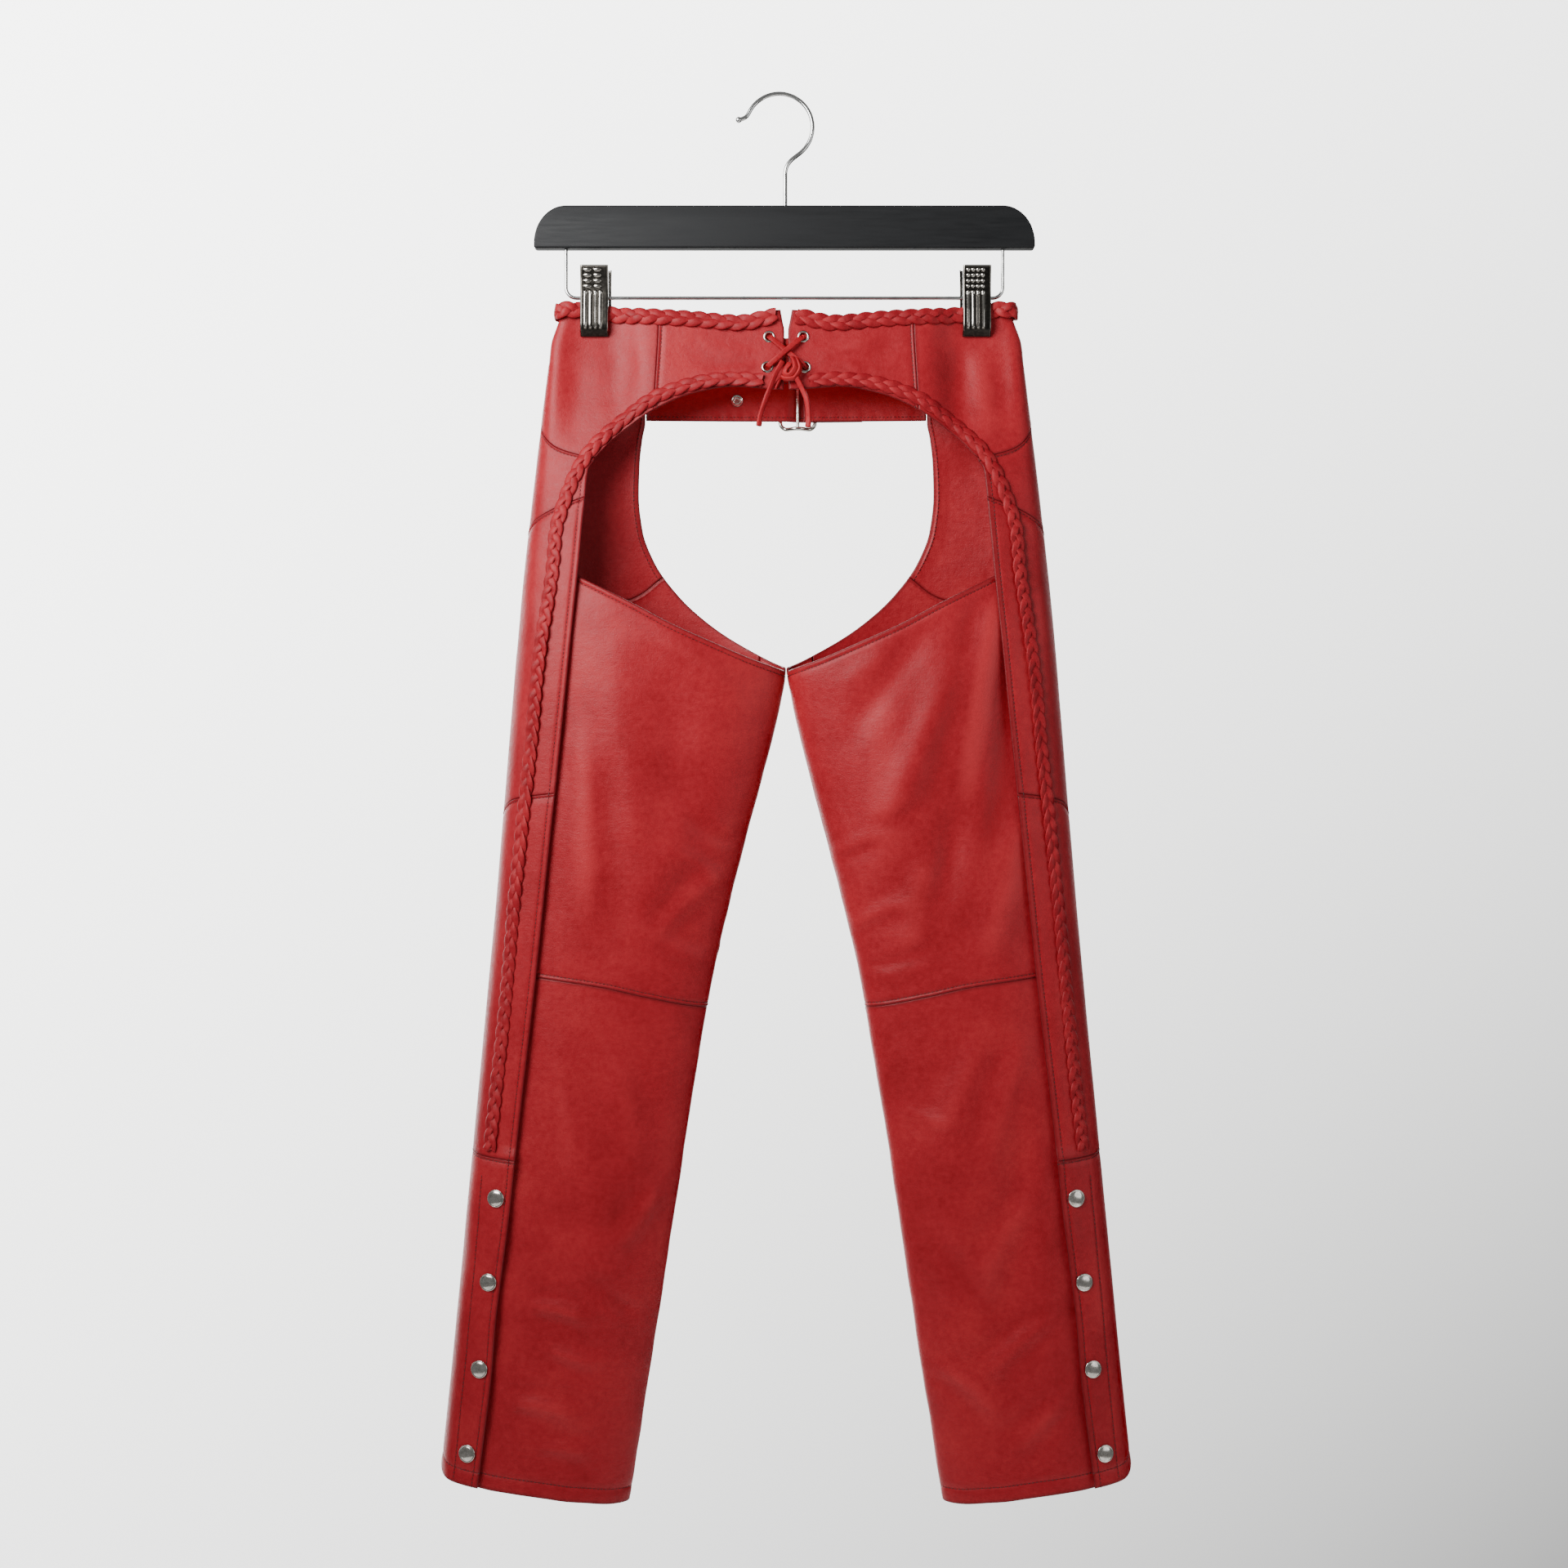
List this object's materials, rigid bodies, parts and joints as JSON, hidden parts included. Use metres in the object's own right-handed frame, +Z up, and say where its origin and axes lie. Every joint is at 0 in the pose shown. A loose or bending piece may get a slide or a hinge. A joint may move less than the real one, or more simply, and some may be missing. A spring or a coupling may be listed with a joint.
{
  "type": "leather chaps on a clip hanger",
  "caption": "Leather chaps with an open seat, plaited trim, laced back waist and snapped leg flaps, pinched by the waist on a wooden clip hanger.",
  "frame": {"origin": "the inside top of the hanger's hook, where a rod or peg carries it", "axes": "+Z up along the hanging garment, +X to the viewer's right when the laced back faces the viewer, -Y towards that viewer, out of the garment's back"},
  "size_m": [0.5906, 0.0815, 1.2053],
  "materials": {
    "garment_leather": "soft nappa side leather, semi-gloss, fine grain",
    "braid_leather": "plaited strips of the same leather",
    "lace_leather": "narrow cut thong",
    "snap_caps": "polished nickel plate",
    "eyelet_metal": "polished nickel plate",
    "buckle_metal": "polished nickel plate",
    "hanger_wire": "chrome-plated steel wire",
    "clip_metal": "dark nickel-plated pressed steel",
    "hanger_wood": "black satin lacquer on wood"
  },
  "bodies": {
    "root": {"back_calf_left": "garment_leather", "back_calf_right": "garment_leather", "back_thigh_left": "garment_leather", "back_thigh_right": "garment_leather", "back_yoke_left": "garment_leather", "back_yoke_right": "garment_leather", "buckle_frame": "buckle_metal", "buckle_prong": "buckle_metal", "clip_back_left": "clip_metal", "clip_back_right": "clip_metal", "clip_barrel_left": "clip_metal", "clip_barrel_right": "clip_metal", "clip_front_left": "clip_metal", "clip_front_right": "clip_metal", "clip_rail": "hanger_wire", "eyelet_left_lower": "eyelet_metal", "eyelet_left_upper": "eyelet_metal", "eyelet_right_lower": "eyelet_metal", "eyelet_right_upper": "eyelet_metal", "front_hem_left": "garment_leather", "front_hem_right": "garment_leather", "front_shin_left": "garment_leather", "front_shin_right": "garment_leather", "front_thigh_left": "garment_leather", "front_thigh_right": "garment_leather", "front_upper_left": "garment_leather", "front_upper_right": "garment_leather", "hanger_bar": "hanger_wood", "hanger_hook": "hanger_wire", "lace_end_left": "lace_leather", "lace_end_right": "lace_leather", "lace_knot": "lace_leather", "lace_over": "lace_leather", "lace_under": "lace_leather", "side_band_left": "garment_leather", "side_band_right": "garment_leather", "side_braid_left": "braid_leather", "side_braid_right": "braid_leather", "side_yoke_left": "garment_leather", "side_yoke_right": "garment_leather", "snap_left_1": "snap_caps", "snap_left_2": "snap_caps", "snap_left_3": "snap_caps", "snap_left_4": "snap_caps", "snap_right_1": "snap_caps", "snap_right_2": "snap_caps", "snap_right_3": "snap_caps", "snap_right_4": "snap_caps", "strap_eyelet": "eyelet_metal", "strap_left": "garment_leather", "strap_right": "garment_leather", "waist_braid_left": "braid_leather", "waist_braid_right": "braid_leather"}
  },
  "joints": []
}
